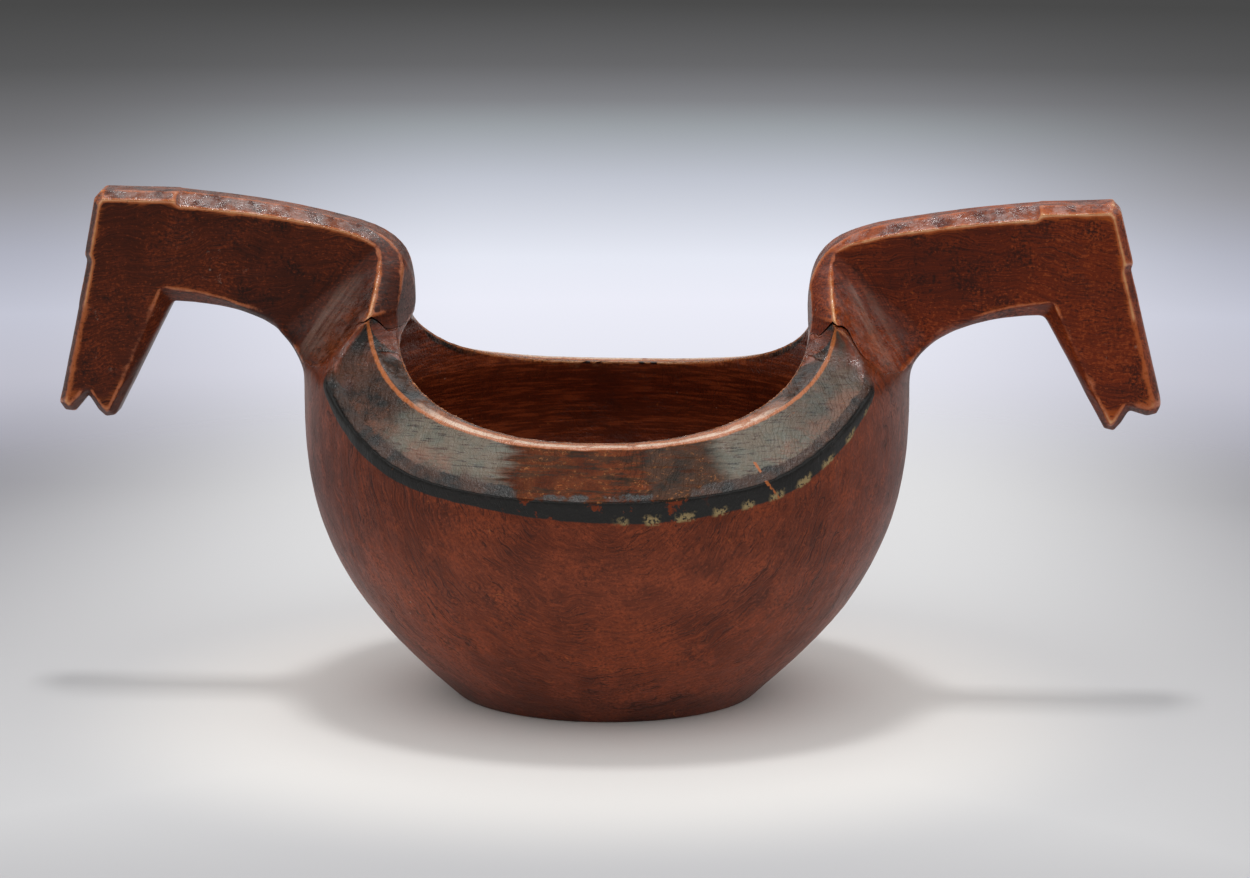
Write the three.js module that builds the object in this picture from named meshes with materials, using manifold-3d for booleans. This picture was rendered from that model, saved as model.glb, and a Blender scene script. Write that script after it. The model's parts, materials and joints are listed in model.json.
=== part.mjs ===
// A two-handled wooden ale bowl with horse-head handles, in millimetres, +Z up.
// The origin is the middle of the flat base, and the handles lie along X.
import * as THREE from 'three';
import { mergeVertices } from 'three/addons/utils/BufferGeometryUtils.js';
import Module from 'manifold-3d';

const wasm = await Module();
wasm.setup();

// Round body
const baseRadius = 53.2;
const bodyRadius = 106;
const bellyHeight = 100;
const baseLean = 42;
const baseRun = 38;
const bellyRun = 50;

// Mouth: a rim that dips at the front and back and climbs both necks
const mouthHeight = 102.9;
const jointHeight = 137.2;
const rimRadius = 86.4;
const rimWidth = 9;
const rimReach = 80;
const neckInnerReach = 71.8;
const neckInnerNarrowing = 3;
const stripReach = 69.9;

// The left neck's inner face comes a little further over the hollow than the right one's
const neckFaceReach = { left: 67.3, right: 70 };
const dipRoundness = 2.5;

// Sloping band under the rim, steep at the front and nearly level at the necks
const bandSlopeFront = 38;
const bandSlopeNeck = 14;
const bandEaseFrom = 30;
const bandEaseTo = 80;
const bandCutInside = 14;
const bandCutOutside = 50;

// Hollow
const floorThickness = 14;
const hollowRadius = 87;
const hollowWidestHeight = 74;
const hollowFloorRadius = 30;
const floorRound = 34;
const wallRound = 32;
const shoulderRound = 14;
const lipRound = 8;
const lipFlare = 1.4;

// Necks: flanks that spread from the flat handle to the width of the rim
const foldX = 81.8;
const foldPart = 0.429;
const foldAngle = 41.5;
const flankEase = 2;
const flankCurve = 1.6;
const flankDepth = 44;
const flankStep = 3.6;
const neckWidthAtRim = 65.4;
const neckOuterFillet = 10;
const neckFootWidth = 100;
const neckFootInset = 1.3;

// Handles: flat plates with bevelled edges
const handleReach = 193.6;
const handleThickness = 22;
const gripTopHeight = 175.2;
const gripTopSetback = 44.6;
const gripHeight = 38.8;
const throatSetback = 41.6;
const throatFootHeight = 104;
const bendRun = 14.6;
const bendTopPart = 0.692;
const crestWidth = 7.4;
const bendCrestWidth = 11;
const bendStripDrop = 2.6;
const topStripDrop = 4.4;
const edgeBevelInset = 2.7;
const edgeBevelDepth = 5;
const throatBevelInset = 5.4;
const throatBevelDepth = 6.2;
const throatBevelSteps = 3;
const stripRootDepth = 2.5;
const stripEndRun = 4;

// The left grip sits a little higher than the right one, from the bend outwards
const gripRise = { left: 0.6, right: -0.6 };
const riseFrom = 84;
const riseTo = 118;

// Heads, from the forehead round the nose, lip and chin, as [beyond the reach, above the grip]
const heads = {
  left: {
    forehead: [[-17, 0.4], [-14.3, -2.6]],
    noseStop: [-10.7, -22.4],
    lip: [[-1, -74.9], [-3, -77.8], [-6.6, -78.2]],
    notch: [-11.4, -72.3],
    chin: [[-14.8, -77.6], [-17.4, -80], [-20.8, -79.4]],
  },
  right: {
    forehead: [[-18.2, 0.9], [-15.6, -2]],
    noseStop: [-11, -19.8],
    lip: [[0, -69.4], [-1.8, -72.4], [-5.2, -73.2]],
    notch: [-11.4, -71.3],
    chin: [[-14.2, -75.9], [-16.6, -78.6], [-19.8, -77.8]],
  },
};
const noseStopStep = 0.8;

// Joints: old breaks across the necks, highest under the rim's edge, closed with glue and a peg
const jointGap = 0.3;
const jointSteepest = 48;
const jointCrest = 79.5;
const jointEnd = 7;
const pegDiameter = 8;
const pegLength = 44;
const pegClearance = 0.3;
const pegMiddleDrop = 12.2;

// Smoothness
const bodyBearings = 72;
const bodySteps = 14;
const mouthStations = 26;
const stripStations = 60;
const curveSteps = 9;
const hollowSteps = 12;
const pegSides = 24;

const rimInnerRadius = rimRadius - rimWidth;
const slabHalf = handleThickness / 2;
const neckRise = gripTopHeight - jointHeight;
const gripUnderHeight = gripTopHeight - gripHeight;
const gripTopReach = handleReach - gripTopSetback;
const throatReach = handleReach - throatSetback;
const pegX = (rimInnerRadius + bodyRadius) / 2;
const pegMiddle = jointHeight - pegMiddleDrop;
const topHeight = 200;
const farOut = 260;
const outwardCut = 24;
const aboveJointCut = 8;
const aboveStripCut = 22;
const radians = THREE.MathUtils.degToRad;
const faceOverhangFrom = radians(77);
const faceHalf = 1;

// Solids

function toManifold(geometry) {
  const plain = geometry.clone();
  plain.deleteAttribute('normal');
  plain.deleteAttribute('uv');
  const merged = mergeVertices(plain, 1e-4);
  const mesh = new wasm.Mesh({
    numProp: 3,
    vertProperties: new Float32Array(merged.attributes.position.array),
    triVerts: new Uint32Array(merged.index.array),
  });
  return new wasm.Manifold(mesh);
}

function toGeometry(solid) {
  const mesh = solid.getMesh();
  const geometry = new THREE.BufferGeometry();
  geometry.setAttribute('position', new THREE.BufferAttribute(mesh.vertProperties, 3));
  geometry.setIndex(new THREE.BufferAttribute(mesh.triVerts, 1));
  geometry.computeVertexNormals();
  return geometry;
}

function turnedInsideOut(geometry) {
  const index = Array.from(geometry.index.array);
  for (let i = 0; i < index.length; i += 3) [index[i], index[i + 1]] = [index[i + 1], index[i]];
  const turned = geometry.clone();
  turned.setIndex(index);
  return turned;
}

function signedVolume(geometry) {
  const corners = geometry.attributes.position;
  const [a, b, c] = [new THREE.Vector3(), new THREE.Vector3(), new THREE.Vector3()];
  let volume = 0;
  for (let i = 0; i < geometry.index.count; i += 3) {
    a.fromBufferAttribute(corners, geometry.index.getX(i));
    b.fromBufferAttribute(corners, geometry.index.getX(i + 1));
    c.fromBufferAttribute(corners, geometry.index.getX(i + 2));
    volume += a.dot(b.cross(c)) / 6;
  }
  return volume;
}

function solidOf(geometry) {
  const indexed = geometry.index ? geometry : mergeVertices(geometry, 1e-4);
  return toManifold(signedVolume(indexed) > 0 ? indexed : turnedInsideOut(indexed));
}

// A closed skin over rings that all have the same number of points, with flat ends
function loft(rings) {
  const sides = rings[0].length;
  const index = [];
  for (let r = 0; r < rings.length - 1; r += 1) {
    for (let i = 0; i < sides; i += 1) {
      const a = r * sides + i;
      const b = r * sides + ((i + 1) % sides);
      index.push(a, b, b + sides, a, b + sides, a + sides);
    }
  }
  const last = (rings.length - 1) * sides;
  for (let i = 1; i < sides - 1; i += 1) {
    index.push(0, i + 1, i);
    index.push(last, last + i, last + i + 1);
  }
  const geometry = new THREE.BufferGeometry().setFromPoints(rings.flat());
  geometry.setIndex(index);
  return solidOf(geometry);
}

function turned(profile) {
  const lathe = new THREE.LatheGeometry(profile, bodyBearings);
  return solidOf(lathe.rotateX(Math.PI / 2));
}

// A side outline, drawn in X and Z, made as thick as asked across Y
function acrossY(outline, thickness, bevel = {}) {
  const options = { depth: thickness, bevelEnabled: false, ...bevel };
  const plate = new THREE.ExtrudeGeometry(outline, options);
  plate.translate(0, 0, -thickness / 2);
  return solidOf(plate.rotateX(Math.PI / 2));
}

const inPlane = (points) => points.map(([x, z]) => new THREE.Vector2(x, z));
const sideShape = (points) => new THREE.Shape(inPlane(points));
const upright = (depth) => ({ depth, bevelEnabled: false });
const mirroredX = (points) => points.map(([x, z]) => [-x, z]);
const mirroredOutline = (half) => sideShape([...half, ...half.map(([x, y]) => [x, -y]).reverse()]);
const { lerp, smoothstep } = THREE.MathUtils;

function bezier(points, steps) {
  const curve = new THREE.CubicBezierCurve(...inPlane(points));
  return curve.getPoints(steps).map((point) => [point.x, point.y]);
}

// Mouth curves

// The dip of the mouth: turn 0 is the middle of the front, turn 90 is the joint on the neck
function mouthPoint(turn, radius, reach) {
  const x = reach * Math.sin(turn) ** (2 / dipRoundness);
  const z = jointHeight - (jointHeight - mouthHeight) * Math.cos(turn) ** (2 / dipRoundness);
  return new THREE.Vector3(x, -Math.sqrt(radius ** 2 - x ** 2), z);
}

const rimEdge = (turn) => mouthPoint(turn, rimRadius, rimReach);

function rimInnerEdge(turn) {
  const narrowing = neckInnerNarrowing * smoothstep(turn, Math.PI / 3, Math.PI / 2);
  return mouthPoint(turn, rimInnerRadius - narrowing, neckInnerReach);
}

// The strip up the neck and along the grip runs between an edge on the flank and an edge on the
// crest. A third line, which the crest side falls to, bows the neck's inner face.
// Points on the neck are [outward from the strip's reach, toward the front, part of the rise].
const neckFlankEdge = [[9.1, 21.8, 0.229], [9.5, 14.4, 0.432], [14, slabHalf + 0.3, 0.611]];
const neckCrestEdge = [[0.9, 14, 0.221], [1, 10.4, 0.405], [7.2, 7, 0.624]];
const neckFallLine = [[0.1, faceHalf, 0.221], [1, faceHalf, 0.405], [6.4, 0, 0.726]];

// From the bend to the forehead each line keeps [beside, toward the front, below] the top line
const gripFlankEdge = [[2, slabHalf, bendStripDrop], [0, slabHalf, topStripDrop]];
const gripCrestEdge = [[0, bendCrestWidth / 2, 0], [0, crestWidth / 2, 0]];
const gripFallLine = [[0, -2, -3], [0, -3, -3]];

function stripEdge(start, onNeck, onGrip, reach, name) {
  const neck = onNeck.map(([out, front, part]) => {
    const x = reach + out;
    return new THREE.Vector3(x, -front, neckHeight(part) + riseAt(name, x));
  });
  const top = bendAndTop(name)[1].slice(1);
  const grip = top.map(([x, z], i) => {
    const along = i / (top.length - 1);
    const [beside, front, below] = [0, 1, 2].map((k) => lerp(onGrip[0][k], onGrip[1][k], along));
    return new THREE.Vector3(x + beside, -front, z - below + riseAt(name, x));
  });
  return new THREE.CatmullRomCurve3([start, ...neck, ...grip], false, 'centripetal');
}

const neckHeight = (part) => jointHeight + part * neckRise;
const acrossStrip = ([flank, crest]) => new THREE.Vector3().subVectors(crest, flank).normalize();

// The flat rim: everything above the strip between the rim's edges, up to the joint's height
function frontRimCutter() {
  return mouthCutter((turn) => {
    const pair = [rimEdge(turn), rimInnerEdge(turn)];
    const outer = pair[0].clone().addScaledVector(acrossStrip(pair), -outwardCut);
    return [outer, ...pair];
  });
}

// Inside the rim the cut goes on to the middle of the neck's inner face
function frontFaceCutter() {
  return mouthCutter((turn, name) => {
    const edge = rimInnerEdge(turn);
    return [edge, new THREE.Vector3(Math.min(edge.x, neckFaceReach[name]), -faceHalf, edge.z)];
  });
}

function mouthCutter(lineAt) {
  const rings = [];
  for (let i = -mouthStations; i <= mouthStations; i += 1) {
    const mirror = new THREE.Vector3(Math.sign(i || 1), 1, 1);
    const turn = (Math.PI / 2) * (Math.abs(i) / mouthStations);
    const line = lineAt(turn, i < 0 ? 'left' : 'right').map((point) => point.multiply(mirror));
    const top = jointHeight + aboveJointCut;
    rings.push([...line, line.at(-1).clone().setZ(top), line[0].clone().setZ(top)]);
  }
  return loft(rings);
}

// The strip up a neck and along its grip, which ends in a short ramp behind the forehead
function frontStripCutter(name) {
  const mirror = new THREE.Vector3(name === 'left' ? -1 : 1, 1, 1);
  const face = neckFaceReach[name];
  const faceFoot = new THREE.Vector3(face, -faceHalf, jointHeight);
  const edges = [
    stripEdge(rimEdge(Math.PI / 2), neckFlankEdge, gripFlankEdge, stripReach, name),
    stripEdge(rimInnerEdge(Math.PI / 2), neckCrestEdge, gripCrestEdge, stripReach, name),
    stripEdge(faceFoot, neckFallLine, gripFallLine, face, name),
  ];
  const stations = [];
  for (let i = 0; i <= stripStations; i += 1) {
    stations.push(edges.map((edge) => edge.getPoint(i / stripStations)));
  }
  const root = new THREE.Vector3(0, 0, -stripRootDepth);
  const ramp = new THREE.Vector3(stripEndRun, 0, topStripDrop);
  stations.unshift(stations[0].map((point) => point.clone().add(root)));
  stations.push(stations.at(-1).map((point) => point.clone().add(ramp)));
  const rings = stations.map(([flankPoint, crestPoint, fallPoint], i) => {
    const before = stations[Math.max(i - 1, 0)];
    const after = stations[Math.min(i + 1, stations.length - 1)];
    const along = new THREE.Vector3().subVectors(after[0], before[0]).normalize();
    const across = acrossStrip([flankPoint, crestPoint]);
    const up = new THREE.Vector3().crossVectors(along, across).setLength(aboveStripCut);
    const outer = flankPoint.clone().addScaledVector(across, -outwardCut);
    const far = fallPoint.clone().add(up);
    const ring = [outer, flankPoint, crestPoint, fallPoint, far, outer.clone().add(up)];
    return ring.map((point) => point.clone().multiply(mirror));
  });
  return loft(rings);
}

// The band is cut in planes through the bowl's axis, so its slope can change with the bearing
function frontBandCutter() {
  const rings = [];
  for (let i = -mouthStations; i <= mouthStations; i += 1) {
    const turn = (Math.PI / 2) * (Math.abs(i) / mouthStations);
    const edge = rimEdge(turn);
    const ease = smoothstep(THREE.MathUtils.radToDeg(turn), bandEaseFrom, bandEaseTo);
    const slope = radians(lerp(bandSlopeFront, bandSlopeNeck, ease));
    const out = new THREE.Vector3(edge.x * Math.sign(i || 1), edge.y, 0).normalize();
    const onBand = (run) => out.clone().multiplyScalar(rimRadius + run * Math.cos(slope))
      .setZ(edge.z - run * Math.sin(slope));
    const [inner, outer] = [onBand(-bandCutInside), onBand(bandCutOutside)];
    rings.push([inner, outer, outer.clone().setZ(topHeight), inner.clone().setZ(topHeight)]);
  }
  return loft(rings);
}

// Necks

// Half the neck's width at a distance below the fold where the flat handle ends
const flankSpread = (depth) => Math.max(depth + flankEase, 0) ** flankCurve;
const foldDown = new THREE.Vector2(-Math.sin(radians(foldAngle)), -Math.cos(radians(foldAngle)));
const depthAtJoint = foldDown.x * (rimReach - foldX) - foldDown.y * foldPart * neckRise;
const flankScale = (neckWidthAtRim / 2 - slabHalf) / flankSpread(depthAtJoint);
const neckHalfWidth = (depth) => slabHalf + flankScale * flankSpread(depth);

function flankPrism(side) {
  const edge = [[-farOut, slabHalf]];
  for (let depth = -flankEase; depth <= flankDepth; depth += flankStep) {
    edge.push([depth, neckHalfWidth(depth)]);
  }
  edge.push([flankDepth + 2 * flankStep, farOut], [farOut, farOut]);
  const prism = new THREE.ExtrudeGeometry(mirroredOutline(edge), upright(2 * farOut));
  prism.translate(0, 0, -farOut);
  const down = new THREE.Vector3(side * foldDown.x, 0, foldDown.y);
  const along = new THREE.Vector3().crossVectors(down, new THREE.Vector3(0, 1, 0));
  const place = new THREE.Matrix4().makeBasis(down, new THREE.Vector3(0, 1, 0), along);
  place.setPosition(side * foldX, 0, neckHeight(foldPart));
  return solidOf(prism.applyMatrix4(place));
}

// Side outlines

const riseAt = (name, x) => gripRise[name] * smoothstep(x, riseFrom, riseTo);
const raised = (points, name) => points.map(([x, z]) => [x, z + riseAt(name, x)]);

// From the joint up the neck's inner face, round the bend and along the grip to the forehead
function bendAndTop(name) {
  const face = neckFaceReach[name];
  const bendTop = [face + bendRun, neckHeight(bendTopPart)];
  const bend = bezier([
    [face, neckHeight(0.026)],
    [face, neckHeight(0.337)],
    [face + 3.1, neckHeight(bendTopPart - 0.137)],
    bendTop,
  ], curveSteps);
  const top = bezier([
    bendTop,
    [bendTop[0] + 11, neckHeight(bendTopPart + 0.134)],
    [gripTopReach - 24, neckHeight(0.945)],
    [gripTopReach, gripTopHeight],
  ], curveSteps);
  return [bend, top];
}

// The underside, from the throat corner back to the neck's outer face
const underLine = bezier([
  [throatReach, gripUnderHeight],
  [throatReach - 26, gripUnderHeight - 0.4],
  [bodyRadius - 3.5, gripUnderHeight - 8.6],
  [bodyRadius - neckFootInset, throatFootHeight],
], curveSteps);

// The neck's outer face: the underside's line carried round the body, narrower further out
function neckFoot(side) {
  const reach = bodyRadius + neckOuterFillet;
  const line = underLine.filter(([x]) => x < reach).reverse();
  const foot = turned(inPlane([[0, throatFootHeight], ...line, [reach, topHeight], [0, topHeight]]));
  const plan = bezier([
    [0, neckFootWidth / 2],
    [reach + 4, neckFootWidth / 2],
    [reach - 4, slabHalf + 3],
    [reach, slabHalf / 2],
  ], curveSteps).map(([x, y]) => [side * x, y]);
  const block = new THREE.ExtrudeGeometry(mirroredOutline(plan), upright(topHeight));
  return foot.intersect(solidOf(block));
}

function headOutline(name) {
  const { forehead, noseStop, lip, notch, chin } = heads[name];
  const stopFoot = [noseStop[0] - noseStopStep, noseStop[1] - 2];
  const points = [...forehead, noseStop, stopFoot, ...lip, notch, ...chin];
  return points.map(([x, z]) => [handleReach + x, gripTopHeight + z]);
}

// One half of the side view without the head, from the middle of the mouth to the base
function halfOutline(name, outerEdge) {
  const dip = [];
  for (let i = 0; i <= mouthStations; i += 1) {
    const turn = (Math.PI / 2) * (i / mouthStations);
    const point = rimInnerEdge(turn);
    const ease = smoothstep(turn, faceOverhangFrom, Math.PI / 2);
    dip.push([point.x - ease * (neckInnerReach - neckFaceReach[name]), point.z]);
  }
  const [bend, top] = bendAndTop(name);
  return raised([...dip, ...bend, ...top.slice(1), ...outerEdge], name);
}

function sideOutline(outerEdge) {
  const left = mirroredX(halfOutline('left', outerEdge).slice(1)).reverse();
  return acrossY(sideShape([...halfOutline('right', outerEdge), ...left]), 2 * farOut);
}

// Handle plate: grip and head in one outline, bevelled all round. Its root lies inside the neck.
function handlePlate(name) {
  const side = name === 'left' ? -1 : 1;
  const root = [[bodyRadius - 8, gripUnderHeight - 18.4], [bodyRadius - 18, gripUnderHeight + 3.6]];
  const top = bendAndTop(name)[1];
  const outline = raised([...top, ...headOutline(name), ...underLine.slice(0, 7), ...root], name);
  const shape = sideShape(side > 0 ? outline : mirroredX(outline));
  const bevel = {
    bevelEnabled: true,
    bevelSegments: 1,
    bevelSize: edgeBevelInset,
    bevelOffset: -edgeBevelInset,
    bevelThickness: edgeBevelDepth,
  };
  return acrossY(shape, handleThickness - 2 * edgeBevelDepth, bevel);
}

// A bevel along an edge with a corner in it, given as [x, z, inset, depth] at each point
function wideBevelCutter(points, side, face) {
  const at = points.map(([x, z]) => new THREE.Vector2(x, z));
  const normalOf = (from, to) => new THREE.Vector2(to.y - from.y, from.x - to.x).normalize();
  const rings = points.map(([x, z, inset, depth], i) => {
    const before = i > 0 ? normalOf(at[i - 1], at[i]) : normalOf(at[i], at[i + 1]);
    const after = i < at.length - 1 ? normalOf(at[i], at[i + 1]) : before;
    const mitre = before.clone().add(after);
    mitre.multiplyScalar(2 / mitre.lengthSq());
    const onSlope = (shift) => new THREE.Vector3(
      side * (x + mitre.x * shift),
      face * (slabHalf - depth + (depth / inset) * shift),
      z + mitre.y * shift,
    );
    const [inside, edge] = [onSlope(inset + 1), onSlope(-1)];
    return [inside, edge, edge.clone().setY(inside.y)];
  });
  return loft(rings);
}

// The inner edges of the jaw and of the grip's underside are bevelled more, most at their corner
function handleOf(name) {
  const side = name === 'left' ? -1 : 1;
  const chin = headOutline(name).at(-1);
  const edge = [[...chin, edgeBevelInset, edgeBevelDepth]];
  for (let i = 0; i <= throatBevelSteps; i += 1) {
    const along = i / throatBevelSteps;
    const inset = lerp(throatBevelInset, edgeBevelInset, along);
    edge.push([...underLine[i], inset, lerp(throatBevelDepth, edgeBevelDepth, along)]);
  }
  for (const point of edge) point[1] += gripRise[name];
  let plate = handlePlate(name);
  for (const face of [-1, 1]) plate = plate.subtract(wideBevelCutter(edge, side, face));
  return plate;
}

// Body

function roundBody() {
  const lean = radians(baseLean);
  const wall = new THREE.CubicBezierCurve(
    new THREE.Vector2(baseRadius, 0),
    new THREE.Vector2(baseRadius + baseRun * Math.cos(lean), baseRun * Math.sin(lean)),
    new THREE.Vector2(bodyRadius, bellyHeight - bellyRun),
    new THREE.Vector2(bodyRadius, bellyHeight),
  );
  const above = inPlane([[bodyRadius, topHeight], [0, topHeight]]);
  return turned([new THREE.Vector2(0, 0), ...wall.getPoints(bodySteps), ...above]);
}

function hollow() {
  const inside = bezier([
    [hollowFloorRadius, floorThickness],
    [hollowFloorRadius + floorRound, floorThickness],
    [hollowRadius, hollowWidestHeight - wallRound],
    [hollowRadius, hollowWidestHeight],
  ], hollowSteps);
  const shoulder = bezier([
    [hollowRadius, hollowWidestHeight],
    [hollowRadius, hollowWidestHeight + shoulderRound],
    [rimInnerRadius + lipFlare, mouthHeight - lipRound],
    [rimInnerRadius, mouthHeight],
  ], hollowSteps / 2);
  const underNecks = [
    [rimInnerRadius, jointHeight - 20],
    [rimInnerRadius - 2, jointHeight - 12],
    [neckInnerReach, jointHeight - 8],
    [neckFaceReach.left, jointHeight - 3.6],
    [neckFaceReach.left - 4, jointHeight + aboveJointCut],
    [0, jointHeight + aboveJointCut],
  ];
  return turned(inPlane([[0, floorThickness], ...inside, ...shoulder.slice(1), ...underNecks]));
}

// The bowl as carved from one block, before it parts at the joints
function carvedBlock() {
  const belowMouth = sideOutline([[gripTopReach, -1]]);
  let block = roundBody().add(neckFoot(-1)).add(neckFoot(1)).intersect(belowMouth);
  block = block.add(handleOf('left')).add(handleOf('right'));
  block = block.intersect(flankPrism(-1)).intersect(flankPrism(1));
  const strips = [frontStripCutter('left'), frontStripCutter('right')];
  const front = [frontRimCutter(), frontFaceCutter(), ...strips, frontBandCutter()];
  const back = front.map((solid) => solidOf(toGeometry(solid).scale(1, -1, 1)));
  for (const cutter of [...front, ...back, hollow()]) block = block.subtract(cutter);
  return block;
}

// Joints and pegs

// The joint's line across a neck, as [outward from its crest, above the joint's height]
const jointLine = [[-19.5, -5.7], [-4.5, -5.7], [0, 0], [5, -3.4], [11.5, -12], [18.5, -17]];
const jointOuterDrop = 19;

// Everything on the handle's side of a joint, lowered by the gap for the bowl's own cut
function handleSide(side, lower) {
  const end = bodyRadius + jointEnd;
  const line = jointLine.map(([out, up]) => [jointCrest + out, jointHeight + up - lower]);
  const inner = jointCrest + jointLine[0][0];
  const points = [...line, [end, jointHeight - jointOuterDrop - lower], [end, 0], [farOut, 0]];
  points.push([farOut, topHeight + 1], [inner, topHeight + 1]);
  return acrossY(sideShape(side > 0 ? points : mirroredX(points)), 2 * farOut);
}

function peg(side, extra) {
  const radius = pegDiameter / 2 + extra;
  const pin = new THREE.CylinderGeometry(radius, radius, pegLength + 2 * extra, pegSides);
  return pin.rotateX(Math.PI / 2).translate(side * pegX, 0, pegMiddle);
}

// Sub-parts

const paint = new THREE.MeshStandardMaterial({ color: '#6f3522', roughness: 0.42, metalness: 0 });
const bareWood = new THREE.MeshStandardMaterial({ color: '#b98a56', roughness: 0.7, metalness: 0 });

function named(name, geometry, material) {
  const mesh = new THREE.Mesh(geometry, material);
  mesh.name = name;
  return mesh;
}

const whole = carvedBlock();
const pegHoles = [-1, 1].map((side) => solidOf(peg(side, pegClearance)));
const slot = jointGap / Math.cos(radians(jointSteepest));

let bowl = whole;
for (const side of [-1, 1]) bowl = bowl.subtract(handleSide(side, slot));
for (const hole of pegHoles) bowl = bowl.subtract(hole);

const handleLeft = whole.intersect(handleSide(-1, 0)).subtract(pegHoles[0]);
const handleRight = whole.intersect(handleSide(1, 0)).subtract(pegHoles[1]);

const object = new THREE.Group();
object.add(named('bowl', toGeometry(bowl), paint));
object.add(named('handle_left', toGeometry(handleLeft), paint));
object.add(named('handle_right', toGeometry(handleRight), paint));
object.add(named('peg_left', peg(-1, 0), bareWood));
object.add(named('peg_right', peg(1, 0), bareWood));

export default object;
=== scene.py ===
# Two-handled wooden ale bowl with horse-head handles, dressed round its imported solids.
# Lengths are in metres unless a name ends in Mm or a comment says millimetres.
import json
import math

import bpy
import numpy as np
from mathutils import Matrix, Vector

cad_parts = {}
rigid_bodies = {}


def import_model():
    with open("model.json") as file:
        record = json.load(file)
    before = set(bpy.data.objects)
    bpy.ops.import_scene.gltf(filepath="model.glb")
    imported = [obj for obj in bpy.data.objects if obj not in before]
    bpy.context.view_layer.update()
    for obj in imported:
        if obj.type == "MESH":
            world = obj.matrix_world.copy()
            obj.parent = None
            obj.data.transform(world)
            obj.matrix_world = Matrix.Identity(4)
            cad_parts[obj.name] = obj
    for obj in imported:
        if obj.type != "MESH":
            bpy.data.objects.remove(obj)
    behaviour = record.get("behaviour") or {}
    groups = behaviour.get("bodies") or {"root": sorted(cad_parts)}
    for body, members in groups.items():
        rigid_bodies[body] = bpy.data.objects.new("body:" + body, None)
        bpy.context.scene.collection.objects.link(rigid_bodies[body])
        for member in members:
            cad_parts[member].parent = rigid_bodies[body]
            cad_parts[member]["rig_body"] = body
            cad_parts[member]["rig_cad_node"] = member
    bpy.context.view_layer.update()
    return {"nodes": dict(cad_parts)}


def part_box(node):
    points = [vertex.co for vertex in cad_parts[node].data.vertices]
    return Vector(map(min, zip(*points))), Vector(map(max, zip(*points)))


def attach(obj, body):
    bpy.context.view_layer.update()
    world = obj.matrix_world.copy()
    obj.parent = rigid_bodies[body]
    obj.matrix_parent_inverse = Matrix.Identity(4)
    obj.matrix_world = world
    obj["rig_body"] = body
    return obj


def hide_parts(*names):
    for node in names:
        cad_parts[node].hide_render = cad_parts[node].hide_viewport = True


mm = 0.001
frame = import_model()
print("stage: frame loaded")

# The photograph's frame, and the camera that fits it
photo = {"width": 1250, "focalPixels": 5003, "sensorMm": 36}
cameraPlace = {
    "location": (0.1084, -1.7220, 0.4270),
    "lookDownDeg": 11.08,
    "turnDeg": 3.39,
    "rollDeg": 0.2,
    "seesTo": 20,
}


def makeCamera():
    bpy.ops.object.camera_add()
    camera = bpy.context.object
    camera.name = "photoCamera"
    camera.data.sensor_width = photo["sensorMm"]
    camera.data.lens = photo["sensorMm"] * photo["focalPixels"] / photo["width"]
    camera.data.clip_end = cameraPlace["seesTo"]
    turn = Matrix.Rotation(math.radians(cameraPlace["turnDeg"]), 4, "Z")
    tilt = Matrix.Rotation(math.radians(90 - cameraPlace["lookDownDeg"]), 4, "X")
    roll = Matrix.Rotation(math.radians(cameraPlace["rollDeg"]), 4, "Z")
    camera.matrix_world = Matrix.Translation(cameraPlace["location"]) @ turn @ tilt @ roll
    bpy.context.scene.camera = camera


makeCamera()


def deselectAll():
    if bpy.context.object and bpy.context.object.mode != "OBJECT":
        bpy.ops.object.mode_set(mode="OBJECT")
    bpy.ops.object.select_all(action="DESELECT")


def pick(*pieces):
    deselectAll()
    for piece in pieces:
        piece.select_set(True)
    bpy.context.view_layer.objects.active = pieces[0]


def applyModifier(piece, kind, **settings):
    modifier = piece.modifiers.new(kind.lower(), kind)
    for key, value in settings.items():
        setattr(modifier, key, value)
    pick(piece)
    bpy.ops.object.modifier_apply(modifier=modifier.name)


def copyOfNode(node):
    pick(frame["nodes"][node])
    bpy.ops.object.duplicate()
    piece = bpy.context.object
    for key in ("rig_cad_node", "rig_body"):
        if key in piece:
            del piece[key]
    piece.parent = None
    piece.data.materials.clear()
    bpy.ops.object.mode_set(mode="EDIT")
    bpy.ops.mesh.select_all(action="SELECT")
    bpy.ops.mesh.remove_doubles(threshold=1e-6)
    bpy.ops.object.mode_set(mode="OBJECT")
    return piece


# Places or normals of a mesh's points, one row each
def positionsOf(piece, kind="co"):
    flat = np.empty(len(piece.data.vertices) * 3, np.float32)
    piece.data.vertices.foreach_get(kind, flat)
    return flat.reshape(-1, 3).astype(float)


def placeVertices(piece, places):
    piece.data.vertices.foreach_set("co", np.asarray(places, np.float32).ravel())
    piece.data.update()


# Rises softly from 0 at low to 1 at high
def rise(value, low, high):
    t = np.clip((value - low) / (high - low), 0, 1)
    return t * t * (3 - 2 * t)


# Falls softly from 1 at low to 0 at high
def fall(value, low, high):
    return rise(-value, -high, -low)


def addAttribute(piece, name, values):
    attribute = piece.data.attributes.new(name, "FLOAT", "POINT")
    attribute.data.foreach_set("value", np.asarray(values, np.float32))


def addGroup(piece, name, weights, levels=16):
    group = piece.vertex_groups.new(name=name)
    level = np.rint(np.clip(weights, 0, 1) * levels).astype(int)
    for step in range(1, levels + 1):
        group.add(np.nonzero(level == step)[0].tolist(), step / levels, "REPLACE")
    return name


def trianglesOf(piece):
    return sum(len(face.vertices) - 2 for face in piece.data.polygons)


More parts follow.
